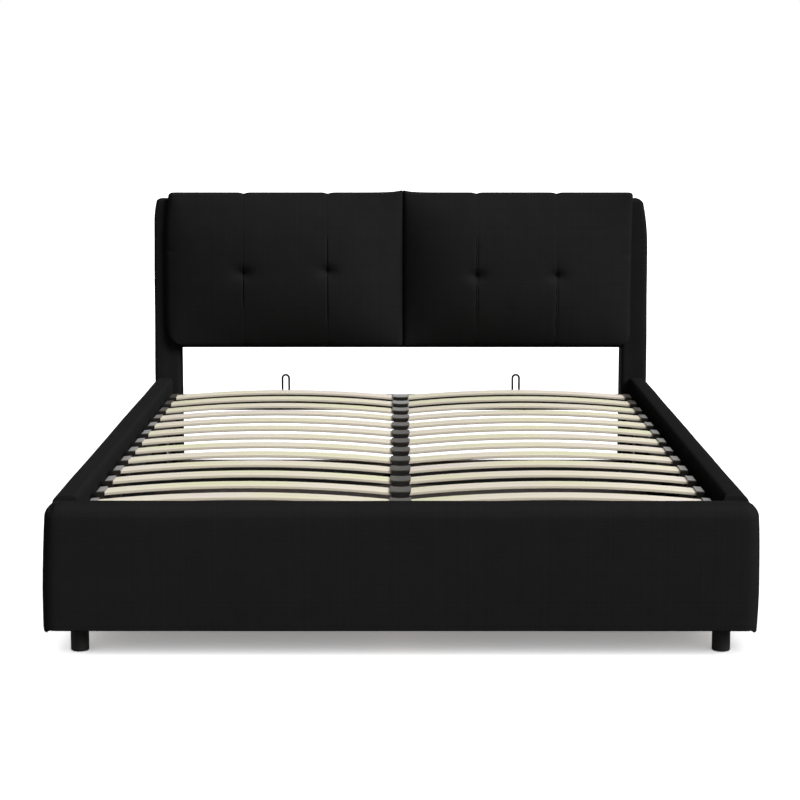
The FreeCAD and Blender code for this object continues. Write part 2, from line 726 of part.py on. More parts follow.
def strut_rod():
    piston_start = bore_start + fit_gap
    piston = rod(bore_radius - fit_gap, along_strut(piston_start),
                 along_strut(piston_start + strut_piston_length))
    shaft = rod(strut_rod_diameter / 2, along_strut(piston_start), strut_top)
    centres = [strut_top - strut_line * strut_play, strut_top + strut_line * strut_play]
    across = Vector(1, 0, 0).cross(strut_line)

    def long_round(radius, x0, x1):
        rounds = [cross_rod(radius, x0, x1, spot.y, spot.z) for spot in centres]
        corners = [Vector(x0, spot.y, spot.z) + across * side
                   for spot, side in zip(centres + centres[::-1], (radius, radius, -radius, -radius))]
        return fused(rounds + [prism(outline(corners), Vector(x1 - x0, 0, 0))])

    eye = long_round(strut_eye_radius, eye_inner_x, eye_outer_x)
    slot = long_round(stud_diameter / 2 + fit_gap, eye_inner_x - overrun, eye_outer_x + overrun)
    return fused([piston, shaft, eye]).cut(slot)


def support_angle():
    shelf = block(rail_inner_x - angle_leg, rail_inner_x, angle_y, angle_end_y,
                  angle_top_z - angle_thickness, angle_top_z)
    web = block(rail_inner_x - angle_thickness, rail_inner_x, angle_y, angle_end_y,
                angle_top_z - angle_drop, angle_top_z)
    return drilled(fused([shelf, web]), screw_holes)


def corner_bracket():
    on_rail = block(rail_inner_x - corner_thickness, rail_inner_x, foot_inner_y, foot_inner_y + corner_leg,
                    corner_z, corner_z + corner_height)
    on_foot = block(rail_inner_x - corner_leg, rail_inner_x, foot_inner_y, foot_inner_y + corner_thickness,
                    corner_z, corner_z + corner_height)
    return drilled(fused([on_rail, on_foot]), screw_holes)


os.makedirs("parts", exist_ok=True)
save_pair("rail_board", rail_board)
save_pair("rail_cover", rail_cover)
save_pair("post_core", post_core)
save_pair("post_cover", post_cover)
save_pair("cushion", right_cushion)
save("foot_board", foot_board)
save("foot_cover", foot_cover)
save("headboard_panel", headboard_panel)
save("head_cross_rail", cross_rail)
save("front_right_foot", front_foot)
save("front_left_foot", mirrored(front_foot))
save("rear_right_foot", rear_foot)
save("rear_left_foot", mirrored(rear_foot))
save("centre_feet", *centre_feet)
save_pair("floor_batten", batten)
save("centre_beam", centre_beam)
save("front_floor_panel", front_floor)
save("rear_floor_panel", rear_floor)
save_pair("side_tube", side_tube)
save("head_tube", head_tube)
save("foot_tube", foot_tube)
save("centre_tube", centre_tube)
save("cross_tube", cross_tube, mirrored(cross_tube))
for row, y in enumerate(slat_places, start=1):
    step = Vector(0, y, 0)
    save(f"slat_row_{row:02d}", left_slat.translated(step), right_slat.translated(step))
save("right_slat_holders", *right_holders)
save("left_slat_holders", *left_holders)
save("centre_slat_holders", *centre_holders)
save("mattress_hoops", left_hoop, right_hoop)
save_pair("lift_bracket", lift_bracket())
save_pair("lift_arm", lift_arm())
save_pair("strut_cylinder", strut_cylinder())
save_pair("strut_rod", strut_rod())
save_pair("support_angle", support_angle())
right_corner = corner_bracket()
save("foot_corner_brackets", mirrored(right_corner), right_corner)
screws = [screw(*spot) for spot in screw_places]
save("bracket_screws", *screws, *[mirrored(piece) for piece in screws])
save("corner_bolts", *bolts, *[mirrored(piece) for piece in bolts])
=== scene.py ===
import math

import bpy
import numpy as np
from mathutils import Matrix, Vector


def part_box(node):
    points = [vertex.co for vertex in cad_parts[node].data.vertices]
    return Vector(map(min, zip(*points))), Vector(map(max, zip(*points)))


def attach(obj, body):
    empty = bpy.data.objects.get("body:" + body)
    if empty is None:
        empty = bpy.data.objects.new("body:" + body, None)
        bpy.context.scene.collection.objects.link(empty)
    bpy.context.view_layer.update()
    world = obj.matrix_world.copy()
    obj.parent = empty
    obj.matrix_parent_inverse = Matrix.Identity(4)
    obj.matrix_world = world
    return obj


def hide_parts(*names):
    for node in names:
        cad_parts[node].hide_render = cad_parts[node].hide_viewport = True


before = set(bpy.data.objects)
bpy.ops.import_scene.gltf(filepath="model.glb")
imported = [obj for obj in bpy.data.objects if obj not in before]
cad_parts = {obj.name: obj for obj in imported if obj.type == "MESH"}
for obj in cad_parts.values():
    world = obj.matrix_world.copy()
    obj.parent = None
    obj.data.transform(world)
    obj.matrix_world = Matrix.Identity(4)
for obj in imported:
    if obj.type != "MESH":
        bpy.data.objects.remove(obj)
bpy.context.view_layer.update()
scene = bpy.context.scene
scene.view_settings.view_transform = "Standard"
print("frame loaded:", len(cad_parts), "nodes")

# Camera: straight on from the foot end, above the bed and tilted down
cameraSet = {"place": (0.0023, -5.9256, 1.3081), "tiltDown": 8.197, "turn": 0.04, "lens": 93.717,
             "sensor": 36.0, "farthest": 200}
cameraData = bpy.data.cameras.new("camera")
cameraData.lens = cameraSet["lens"]
cameraData.sensor_width = cameraSet["sensor"]
cameraData.clip_end = cameraSet["farthest"]
camera = bpy.data.objects.new("camera", cameraData)
camera.location = cameraSet["place"]
camera.rotation_euler = (math.radians(90 - cameraSet["tiltDown"]), 0, math.radians(cameraSet["turn"]))
scene.collection.objects.link(camera)
scene.camera = camera


# Node helpers: a socket given as a value is linked, anything else is set on the input
def fillSockets(tree, made, sockets):
    for key, value in sockets.items():
        if isinstance(value, bpy.types.NodeSocket):
            tree.links.new(value, made.inputs[key])
        else:
            made.inputs[key].default_value = value
    return made


def node(tree, kind, sockets=None, **settings):
    made = tree.nodes.new("ShaderNode" + kind)
    for key, value in settings.items():
        setattr(made, key, value)
    return fillSockets(tree, made, sockets or {})


def calc(tree, operation, *values):
    return node(tree, "Math", dict(enumerate(values)), operation=operation).outputs[0]


def spread(tree, value, fromLow, fromHigh, toLow=0.0, toHigh=1.0):
    sockets = {"Value": value, "From Min": fromLow, "From Max": fromHigh, "To Min": toLow, "To Max": toHigh}
    return node(tree, "MapRange", sockets).outputs["Result"]


def blendColours(tree, share, first, second):
    pair = [value if isinstance(value, bpy.types.NodeSocket) else (*value, 1) for value in (first, second)]
    return node(tree, "Mix", {0: share, 6: pair[0], 7: pair[1]}, data_type="RGBA").outputs[2]


def noise(tree, vector, scale, detail, sockets=None, **settings):
    taken = {"Vector": vector, "Scale": scale, "Detail": detail, **(sockets or {})}
    return node(tree, "TexNoise", taken, **settings).outputs["Fac"]


def stretched(tree, vector, scale):
    return node(tree, "Mapping", {"Vector": vector, "Scale": scale}).outputs["Vector"]


def newGroup(name, takes, gives):
    group = bpy.data.node_groups.new(name, "ShaderNodeTree")
    for label, kind in takes:
        group.interface.new_socket(label, in_out="INPUT", socket_type="NodeSocket" + kind)
    for label in gives:
        group.interface.new_socket(label, in_out="OUTPUT", socket_type="NodeSocketFloat")
    return group, group.nodes.new("NodeGroupInput").outputs, group.nodes.new("NodeGroupOutput").inputs


def useGroup(tree, group, sockets):
    made = tree.nodes.new("ShaderNodeGroup")
    made.node_tree = group
    return fillSockets(tree, made, sockets).outputs


usualNoise = (0.3, 0.7)     # nearly all values of a noise texture lie between these
weaveSet = {"wobble": 0.11, "wobbleDetail": 2.0}


def makeWeave():
    # Plain weave: squares of thread width, where warp and weft take turns on top, each rounded across its
    # width by half a sine wave. Slow noise bends the threads.
    group, takes, gives = newGroup("clothWeave", [("Cloth", "Vector"), ("Thread", "Float")],
                                   ["Height", "Tone"])
    perThread = calc(group, "DIVIDE", 1, takes["Thread"])
    inThreads = node(group, "VectorMath", {0: takes["Cloth"], "Scale": perThread},
                     operation="SCALE").outputs[0]
    wobble = noise(group, inThreads, weaveSet["wobble"], weaveSet["wobbleDetail"])
    flat = node(group, "SeparateXYZ", {0: inThreads}).outputs
    threads = [calc(group, "ADD", flat[way], wobble) for way in ("X", "Y")]
    numbers = [calc(group, "FLOOR", thread) for thread in threads]
    onTop = calc(group, "FLOORED_MODULO", calc(group, "ADD", *numbers), 2)
    across = [calc(group, "ABSOLUTE", calc(group, "SINE", calc(group, "MULTIPLY", thread, math.pi)))
              for thread in threads]
    tones = [node(group, "TexWhiteNoise", {"W": number}, noise_dimensions="1D").outputs["Value"]
             for number in numbers]
    for label, pair in (("Height", across), ("Tone", tones)):
        picked = node(group, "Mix", {0: onTop, 2: pair[0], 3: pair[1]}, data_type="FLOAT").outputs[0]
        group.links.new(picked, gives[label])
    return group


mottleSet = {"cloudDetail": 3.0, "gritFiner": 18, "gritDetail": 2.0}


def makeMottle():
    # Soft cloudy change of tone, two sizes of noise together
    group, takes, gives = newGroup("mottle", [("Place", "Vector"), ("Size", "Float")], ["Cloud", "Grit"])
    density = calc(group, "DIVIDE", 1, takes["Size"])
    finer = calc(group, "MULTIPLY", density, mottleSet["gritFiner"])
    cloud = noise(group, takes["Place"], density, mottleSet["cloudDetail"])
    grit = noise(group, takes["Place"], finer, mottleSet["gritDetail"])
    group.links.new(spread(group, cloud, *usualNoise), gives["Cloud"])
    group.links.new(spread(group, grit, *usualNoise), gives["Grit"])
    return group


grainSet = {"streakDraw": 0.035, "streakDetail": 5.0, "streakRoughness": 0.62, "streakBend": 0.25,
            "streakRange": (0.32, 0.68), "poreDraw": 0.09, "poreFiner": 4.5, "poreDetail": 1.0,
            "poreRange": (0.60, 0.72)}


def makeGrain():
    # Wood fibres along X: noise drawn out lengthwise, and short dark pores
    group, takes, gives = newGroup("woodGrain", [("Place", "Vector"), ("Fibre", "Float")], ["Streak", "Pore"])
    density = calc(group, "DIVIDE", 1, takes["Fibre"])
    long = stretched(group, takes["Place"], (grainSet["streakDraw"], 1, 1))
    streak = noise(group, long, density, grainSet["streakDetail"],
                   {"Roughness": grainSet["streakRoughness"], "Distortion": grainSet["streakBend"]})
    short = stretched(group, takes["Place"], (grainSet["poreDraw"], 1, 1))
    poreDensity = calc(group, "MULTIPLY", density, grainSet["poreFiner"])
    pore = noise(group, short, poreDensity, grainSet["poreDetail"])
    group.links.new(spread(group, streak, *grainSet["streakRange"]), gives["Streak"])
    group.links.new(spread(group, pore, *grainSet["poreRange"]), gives["Pore"])
    return group


peelSet = {"bumpDetail": 1.5, "glossCoarser": 0.03, "glossDetail": 3.0}


def makePeel():
    # Fine skin of sprayed paint or moulded plastic: even bumps and a slow change of gloss
    group, takes, gives = newGroup("finePeel", [("Place", "Vector"), ("Size", "Float")], ["Height", "Gloss"])
    density = calc(group, "DIVIDE", 1, takes["Size"])
    coarser = calc(group, "MULTIPLY", density, peelSet["glossCoarser"])
    slow = noise(group, takes["Place"], coarser, peelSet["glossDetail"])
    group.links.new(noise(group, takes["Place"], density, peelSet["bumpDetail"]), gives["Height"])
    group.links.new(spread(group, slow, *usualNoise), gives["Gloss"])
    return group


clothWeave = makeWeave()
mottle = makeMottle()
woodGrain = makeGrain()
finePeel = makePeel()


def newMaterial(name, **sockets):
    material = bpy.data.materials.new(name)
    material.use_nodes = True
    tree = material.node_tree
    shader = tree.nodes["Principled BSDF"]
    for label, value in sockets.items():
        shader.inputs[label].default_value = value
    return material, tree, shader


def feed(tree, shader, label, socket):
    tree.links.new(socket, shader.inputs[label])


def bump(tree, shader, height, strength, depth):
    made = node(tree, "Bump", {"Height": height, "Strength": strength, "Distance": depth})
    feed(tree, shader, "Normal", made.outputs["Normal"])


def objectPlace(tree):
    return node(tree, "TexCoord").outputs["Object"]


clothLook = {"dark": (0.0075, 0.0073, 0.0075), "light": (0.0180, 0.0176, 0.0180), "thread": 0.0011,
             "cloud": 0.055, "base": 0.26, "byThread": 0.34, "byCloud": 0.12, "byHeight": 0.20,
             "roughness": (0.80, 0.95), "specular": 0.0, "sheen": 0.004, "sheenRoughness": 0.5,
             "sheenTint": (0.92, 0.9, 0.9, 1), "bump": 0.35, "bumpDepth": 0.00025}


def makeCloth():
    # Tone from dark to light: a base share, and shares of each thread's own tone, of clouds and of the weave
    look = clothLook
    material, tree, shader = newMaterial("blackCloth", **{
        "Sheen Weight": look["sheen"], "Sheen Roughness": look["sheenRoughness"],
        "Sheen Tint": look["sheenTint"], "Specular IOR Level": look["specular"]})
    flat = node(tree, "UVMap", uv_map="cloth").outputs["UV"]
    weave = useGroup(tree, clothWeave, {"Cloth": flat, "Thread": look["thread"]})
    clouds = useGroup(tree, mottle, {"Place": objectPlace(tree), "Size": look["cloud"]})
    tone = calc(tree, "MULTIPLY_ADD", weave["Tone"], look["byThread"], look["base"])
    tone = calc(tree, "MULTIPLY_ADD", clouds["Cloud"], look["byCloud"], tone)
    tone = calc(tree, "MULTIPLY_ADD", weave["Height"], look["byHeight"], tone)
    feed(tree, shader, "Base Color", blendColours(tree, tone, look["dark"], look["light"]))
    feed(tree, shader, "Roughness", spread(tree, clouds["Grit"], 0, 1, *look["roughness"]))
    bump(tree, shader, weave["Height"], look["bump"], look["bumpDepth"])
    return material


# Slats: colours and finish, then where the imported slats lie, the rise of their bow and their edges' plies
slatLook = {"cream": (0.805, 0.752, 0.595), "pink": (0.825, 0.745, 0.680), "green": (0.775, 0.775, 0.525),
            "streak": (0.690, 0.615, 0.465), "edge": (0.665, 0.602, 0.485), "glue": (0.560, 0.490, 0.375),
            "drift": (3.2, 7.0, 0.0), "driftApart": 9, "pinkRange": (0.46, 0.68), "greenRange": (0.52, 0.34),
            "fibre": 0.0032, "byStreak": 0.20, "byPore": 0.22, "bump": 0.12, "bumpDepth": 0.0003,
            "roughness": (0.48, 0.62), "specular": 0.2, "coat": 0.04, "coatRoughness": 0.3,
            "firstRow": -0.999, "pitch": 0.150, "width": 0.060, "middle": 0.3755, "rise": 0.019,
            "ply": 0.0015, "glueRange": (0.10, 0.02), "byGlue": 0.5, "edgeInsets": (0.0026, 0.0003)}


def slatArc():
    # Radius and centre height of the slats' top arc: half the chord squared plus the rise squared, over twice
    # the rise
    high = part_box("slat_row_01")[1]
    half = high.x - slatLook["middle"]
    radius = (half ** 2 + slatLook["rise"] ** 2) / (2 * slatLook["rise"])
    return radius, high.z - radius


def makePaleWood():
    # Laminated slat: each slat has its own tint, fibres run along it, its long edges show the plies and are
    # darker than the top, partly as the plies' own tone and partly as painted shade on the rounded edges
    look = slatLook
    material, tree, shader = newMaterial("paleWood", **{
        "Specular IOR Level": look["specular"], "Coat Weight": look["coat"],
        "Coat Roughness": look["coatRoughness"]})
    place = objectPlace(tree)
    parts = node(tree, "SeparateXYZ", {0: place}).outputs
    fromFirst = calc(tree, "SUBTRACT", parts["Y"], look["firstRow"])
    row = calc(tree, "ROUND", calc(tree, "DIVIDE", fromFirst, look["pitch"]))
    slatNumber = node(tree, "CombineXYZ", {0: row, 1: calc(tree, "SIGN", parts["X"])}).outputs[0]
    own = node(tree, "TexWhiteNoise", {"Vector": slatNumber}, noise_dimensions="2D").outputs["Value"]
    drift = noise(tree, stretched(tree, place, look["drift"]), 1.0, 1.0,
                  {"W": calc(tree, "MULTIPLY", own, look["driftApart"])}, noise_dimensions="4D")
    tint = blendColours(tree, spread(tree, drift, *look["pinkRange"]), look["cream"], look["pink"])
    tint = blendColours(tree, spread(tree, drift, *look["greenRange"]), tint, look["green"])
    grain = useGroup(tree, woodGrain, {"Place": place, "Fibre": look["fibre"]})
    for mark, share in (("Streak", look["byStreak"]), ("Pore", look["byPore"])):
        tint = blendColours(tree, calc(tree, "MULTIPLY", grain[mark], share), tint, look["streak"])
    # plies by the depth below the bowed top, edges by the distance from the row's middle
    radius, centre = slatArc()
    along = calc(tree, "SUBTRACT", calc(tree, "ABSOLUTE", parts["X"]), look["middle"])
    arc = calc(tree, "SQRT", calc(tree, "SUBTRACT", radius ** 2, calc(tree, "MULTIPLY", along, along)))
    depth = calc(tree, "SUBTRACT", calc(tree, "ADD", arc, centre), parts["Z"])
    layer = calc(tree, "PINGPONG", calc(tree, "DIVIDE", depth, look["ply"]), 0.5)
    glue = calc(tree, "MULTIPLY", spread(tree, layer, *look["glueRange"]), look["byGlue"])
    rowMiddle = calc(tree, "MULTIPLY_ADD", row, look["pitch"], look["firstRow"])
    fromMiddle = calc(tree, "ABSOLUTE", calc(tree, "SUBTRACT", parts["Y"], rowMiddle))
    onEdge = spread(tree, fromMiddle, *(look["width"] / 2 - inset for inset in look["edgeInsets"]))
    # the edge colour is darker than the top partly as the plies' tone and partly as painted shade where the
    # edge rounds away from the light
    plyEdgeAndShade = blendColours(tree, glue, look["edge"], look["glue"])
    feed(tree, shader, "Base Color", blendColours(tree, onEdge, tint, plyEdgeAndShade))
    feed(tree, shader, "Roughness", spread(tree, grain["Streak"], 0, 1, *look["roughness"]))
    relief = calc(tree, "SUBTRACT", grain["Streak"], grain["Pore"])
    bump(tree, shader, relief, look["bump"], look["bumpDepth"])
    return material


boardLook = {"cloud": 0.03, "byGrit": 0.35, "byStreak": 0.65, "gloss": 0.08, "bump": 0.15,
             "bumpDepth": 0.0003}


def makeBoard(name, dark, light, fibre, roughness, specular=0.3):
    # Plain board: tone from dark to light by its fibres and fine grit
    look = boardLook
    material, tree, shader = newMaterial(name, **{"Specular IOR Level": specular})
    place = objectPlace(tree)
    grain = useGroup(tree, woodGrain, {"Place": place, "Fibre": fibre})
    clouds = useGroup(tree, mottle, {"Place": place, "Size": look["cloud"]})
    tone = calc(tree, "MULTIPLY", grain["Streak"], look["byStreak"])
    tone = calc(tree, "MULTIPLY_ADD", clouds["Grit"], look["byGrit"], tone)
    feed(tree, shader, "Base Color", blendColours(tree, tone, dark, light))
    gloss = spread(tree, clouds["Cloud"], 0, 1, roughness - look["gloss"], roughness + look["gloss"])
    feed(tree, shader, "Roughness", gloss)
    bump(tree, shader, grain["Streak"], look["bump"], look["bumpDepth"])
    return material


holderLook = {"dark": (0.013, 0.0120, 0.0105), "light": (0.023, 0.0210, 0.0185),
              "paintedTopHighlight": (0.106, 0.098, 0.086), "paintedTopDepth": 0.0045, "paintedTopShare": (0.7, 1.0), "cloud": 0.02,
              "peel": 0.0006, "roughness": (0.24, 0.29), "specular": 0.40, "bump": 0.3,
              "bumpDepth": 0.00012}


def makeHolderPlastic():
    # Dark glossy plastic with a painted highlight: paler towards its top, as a lit top looks, in patches by
    # fine grit
    look = holderLook
    material, tree, shader = newMaterial("greyPlastic", **{"Specular IOR Level": look["specular"]})
    place = objectPlace(tree)
    skin = useGroup(tree, finePeel, {"Place": place, "Size": look["peel"]})
    clouds = useGroup(tree, mottle, {"Place": place, "Size": look["cloud"]})
    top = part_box("left_slat_holders")[1].z
    # painted highlight: the top few millimetres are paler and a little rougher, standing in for light on the
    # tops
    height = node(tree, "SeparateXYZ", {0: place}).outputs["Z"]
    paintedTop = spread(tree, height, top - look["paintedTopDepth"], top - look["paintedTopDepth"] / 3)
    paintedTop = calc(tree, "MULTIPLY", paintedTop, spread(tree, clouds["Grit"], 0, 1, *look["paintedTopShare"]))
    plain = blendColours(tree, skin["Gloss"], look["dark"], look["light"])
    feed(tree, shader, "Base Color", blendColours(tree, paintedTop, plain, look["paintedTopHighlight"]))
    feed(tree, shader, "Roughness", spread(tree, paintedTop, 0, 1, *look["roughness"]))
    bump(tree, shader, skin["Height"], look["bump"], look["bumpDepth"])
    return material


skinLook = {"gloss": 0.06, "bump": 0.3, "bumpDepth": 0.00012}


def makeSkin(name, dark, light, peel, roughness, specular=0.5, metallic=0.0, bumpDepth=skinLook["bumpDepth"]):
    # Painted steel, bare steel and moulded plastic: an even colour with fine skin and a slow change of gloss
    look = skinLook
    material, tree, shader = newMaterial(name, **{"Metallic": metallic, "Specular IOR Level": specular})
    skin = useGroup(tree, finePeel, {"Place": objectPlace(tree), "Size": peel})
    feed(tree, shader, "Base Color", blendColours(tree, skin["Gloss"], dark, light))
    gloss = spread(tree, skin["Gloss"], 0, 1, roughness - look["gloss"], roughness + look["gloss"])
    feed(tree, shader, "Roughness", gloss)
    bump(tree, shader, skin["Height"], look["bump"], bumpDepth)
    return material


blackCloth = makeCloth()
finishes = {
    "black_fabric": blackCloth,
    "pale_wood": makePaleWood(),
    "board": makeBoard("pineBoard", (0.30, 0.19, 0.10), (0.48, 0.34, 0.20), fibre=0.004, roughness=0.65),
    "floor_board": makeBoard("darkFloor", (0.014, 0.0080, 0.0052), (0.036, 0.0215, 0.0150),
                             fibre=0.006, roughness=0.66, specular=0.13),
    "black_steel": makeSkin("blackSteel", (0.010, 0.0095, 0.0095), (0.018, 0.0170, 0.0170),
                            peel=0.0012, roughness=0.46, specular=0.08),
    "grey_plastic": makeHolderPlastic(),
    "black_plastic": makeSkin("blackPlastic", (0.009, 0.009, 0.009), (0.014, 0.014, 0.014),
                              peel=0.0007, roughness=0.60, specular=0.2),
    "zinc_steel": makeSkin("zincSteel", (0.42, 0.42, 0.41), (0.60, 0.60, 0.59),
                           peel=0.0009, roughness=0.36, metallic=1.0, bumpDepth=0.00006),
    "chrome_rod": makeSkin("chromeRod", (0.70, 0.70, 0.71), (0.78, 0.78, 0.79),
                           peel=0.004, roughness=0.12, metallic=1.0, bumpDepth=0.00001),
}
print("materials made:", len(finishes))

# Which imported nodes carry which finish; the padded ones are replaced further down
sides = ("left", "right")
finishNodes = {
    "pale_wood": [f"slat_row_{row:02d}" for row in range(1, 14)],
    "board": [f"{side}_{part}" for side in sides for part in ("rail_board", "post_core", "floor_batten")]
             + ["foot_board", "centre_beam"],
    "floor_board": ["front_floor_panel", "rear_floor_panel", "head_cross_rail"],
    "black_steel": [f"{side}_{part}" for side in sides
                    for part in ("side_tube", "lift_bracket", "lift_arm", "strut_cylinder", "support_angle")]
                   + ["head_tube", "foot_tube", "centre_tube", "cross_tube"]
                   + ["foot_corner_brackets", "mattress_hoops"],
    "grey_plastic": ["left_slat_holders", "right_slat_holders", "centre_slat_holders"],
    "black_plastic": [f"{end}_{side}_foot" for end in ("front", "rear") for side in sides] + ["centre_feet"],
    "zinc_steel": ["bracket_screws", "corner_bolts"],
    "chrome_rod": ["left_strut_rod", "right_strut_rod"],
}
for slotName, names in finishNodes.items():
    for name in names:
        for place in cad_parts[name].material_slots:
            place.material = finishes[slotName]

# Surfaces: a block is a lattice of points on its six faces, bent into shape by functions of the points
latticeSet = {"edgeCells": 4, "edgeClear": 1.25, "markClear": 7.5,
              "markSteps": (-5.5, -4, -3, -2, -1, 0, 1, 2, 3, 4, 5.5)}


def stations(low, high, cell, edges=(0.0, 0.0), marks=()):
    # Places along one side of a block: even cells, four cells in each edge, a few close together at each mark
    places = np.linspace(low, high, max(2, round((high - low) / cell)) + 1)
    for edge, fromEnd, inward in ((edges[0], low, 1), (edges[1], high, -1)):
        if edge > 0:
            places = places[(places - fromEnd) * inward > edge * latticeSet["edgeClear"]]
            inEdge = fromEnd + inward * edge * np.linspace(0, 1, latticeSet["edgeCells"] + 1)
            places = np.concatenate([places, inEdge])
    for mark, gap in marks:
        near = mark + gap * np.array(latticeSet["markSteps"])
        places = np.concatenate([places[np.abs(places - mark) > gap * latticeSet["markClear"]], near])
    return np.unique(np.round(places, 7))


def blockLattice(xs, ys, zs):
    # Points on a block's faces, shared along its edges, outward quads, and flat cloth coordinates per corner
    counts = np.array([len(xs), len(ys), len(zs)])
    grid = np.stack(np.meshgrid(*[np.arange(count) for count in counts], indexing="ij"), -1)
    shell = ((grid == 0) | (grid == counts - 1)).any(-1)
    ids = np.full(counts, -1)
    ids[shell] = np.arange(shell.sum())
    at = grid[shell]
    points = np.stack([xs[at[:, 0]], ys[at[:, 1]], zs[at[:, 2]]], 1)
    quads, flats = [], []
    for axis, (first, second) in enumerate(((1, 2), (0, 2), (0, 1))):
        for end in (0, -1):
            face = ids.take(end, axis=axis)
            quad = np.stack([face[:-1, :-1], face[1:, :-1], face[1:, 1:], face[:-1, 1:]], -1).reshape(-1, 4)
            if (end == 0) == (axis != 1):
                quad = quad[:, ::-1]
            quads.append(quad)
            flats.append(points[quad][:, :, [first, second]])
    return points, np.concatenate(quads), np.concatenate(flats).reshape(-1, 2)


def newPiece(name, points, faces, material):
    mesh = bpy.data.meshes.new(name)
    mesh.from_pydata(points.tolist(), [], faces)
    mesh.polygons.foreach_set("use_smooth", np.ones(len(faces), bool))
    mesh.materials.append(material)
    mesh.update()
    piece = bpy.data.objects.new(name, mesh)
    scene.collection.objects.link(piece)
    return piece


def clothPiece(name, sign, x, y, z, quads, flats):
    # A left piece has sign -1: it is mirrored, with its quads turned round so that they still point outwards
    if sign < 0:
        quads, flats = quads[:, ::-1], flats.reshape(-1, 4, 2)[:, ::-1].reshape(-1, 2)
    piece = newPiece(name, np.stack([x * sign, y, z], 1), quads.tolist(), blackCloth)
    layer = piece.data.uv_layers.new(name="cloth")
    layer.data.foreach_set("uv", flats.astype(np.float32).ravel())
    return piece


def roundCorners(p, q, low, high, radii):
    # Bends the corners of the rectangle low to high in the plane of p and q to arcs. Within a corner's
    # square, squares round the arc's centre become circles. Radii in the order low-low, high-low, high-high,
    # low-high.
    for radius, sideP, sideQ in zip(radii, (-1, 1, 1, -1), (-1, -1, 1, 1)):
        if radius <= 0:
            continue
        centreP = high[0] - radius if sideP > 0 else low[0] + radius
        centreQ = high[1] - radius if sideQ > 0 else low[1] + radius
        outP, outQ = (p - centreP) * sideP, (q - centreQ) * sideQ
        inCorner = (outP > 0) & (outQ > 0)
        pull = np.where(inCorner, np.maximum(outP, outQ) / np.maximum(np.hypot(outP, outQ), 1e-9), 1)
        p = np.where(inCorner, centreP + sideP * outP * pull, p)
        q = np.where(inCorner, centreQ + sideQ * outQ * pull, q)
    return p, q


def ripple(points, seed, length, count=8, lengths=(0.7, 1.5)):
    # Sum of plane waves of about one length, in seeded directions and phases, about -1 to 1
    draw = np.random.default_rng(seed)
    ways = draw.normal(size=(count, 3))
    ways /= np.linalg.norm(ways, axis=1, keepdims=True)
    waves = 2 * np.pi / (length * draw.uniform(*lengths, (count, 1)))
    phases = draw.uniform(0, 2 * np.pi, count)
    return np.sin(points @ (ways * waves).T + phases).sum(1) / math.sqrt(2 * count)


def dome(share):
    # 0 at both ends of a side, 1 in the middle, with a flat top
    return 1 - np.abs(2 * np.clip(share, 0, 1) - 1) ** 3


def fullness(share, full, before, after):
    # 1 where a pad is fullest, falling to 0 at both ends, by one power before that place and another after it
    return 1 - np.where(share < full, np.abs(share / full - 1) ** before,
                        np.abs((share - full) / (1 - full)) ** after)


def ease(value, low, high):
    # 0 at low, 1 at high, and level at both
    share = np.clip((value - low) / (high - low), 0, 1)
    return share * share * (3 - 2 * share)


def bell(value, width):
    # 1 at zero, falling off as a bell curve of that width
    return np.exp(-(value / width) ** 2)


def corners(name):
    return [np.array(corner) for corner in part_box(name)]


def dress(piece, fill, *nodes):
    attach(piece, "base")
    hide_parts(*nodes)


# Side rails: foam over a board, cloth pulled over the rounded top and folded under
railShape = {"outer": 0.022, "inner": 0.012, "lower": 0.004, "under": 0.002, "end": 0.003, "fold": 0.002,
             "cell": 0.011, "puff": 0.003, "puffFrom": 0.55, "crown": 0.4, "crownReach": 0.05, "wave": 0.0004,
             "waveLength": 0.45, "waveFrom": 0.3, "waveReach": 0.06, "fill": 0.7,
             "left": {"sign": -1, "seed": 11}, "right": {"sign": 1, "seed": 12}}


def makeRail(side):
    # A block with rounded edges. Its outer face swells by puff times a dome over its height, its top by a
    # share of that over its width, and slow waves run over both.
    shape = {**railShape, **railShape[side]}
    inner, outer, lower, end = shape["inner"], shape["outer"], shape["lower"], shape["end"]
    low, high = corners("right_rail_cover")
    low[2] -= shape["fold"]
    points, quads, flats = blockLattice(
        stations(low[0], high[0], shape["cell"], (inner, outer)),
        stations(low[1], high[1], shape["cell"], (end, end)),
        stations(low[2], high[2], shape["cell"], (lower, outer)))
    x, y, z = points.T
    onFace = (x - low[0]) / (high[0] - low[0])
    puff = shape["puff"] * dome((z - low[2]) / (high[2] - low[2])) * ease(onFace, shape["puffFrom"], 1)
    crown = shape["crown"] * shape["puff"] * dome(onFace) * ease(z, high[2] - shape["crownReach"], high[2])
    x, z = roundCorners(x, z, low[[0, 2]], high[[0, 2]], (shape["under"], lower, outer, inner))
    x, y = roundCorners(x, y, low[:2], high[:2], (0, end, end, 0))
    y, z = roundCorners(y, z, low[1:], high[1:], (0, 0, end, end))
    wave = ripple(np.stack([x, y, z], 1), shape["seed"], shape["waveLength"]) * shape["wave"]
    x = x + puff + wave * ease(onFace, shape["waveFrom"], 1)
    z = z + crown + wave * ease(z, high[2] - shape["waveReach"], high[2])
    piece = clothPiece(f"{side}_rail_padding", shape["sign"], x, y, z, quads, flats)
    dress(piece, shape["fill"], f"{side}_rail_cover")


makeRail("left")
makeRail("right")

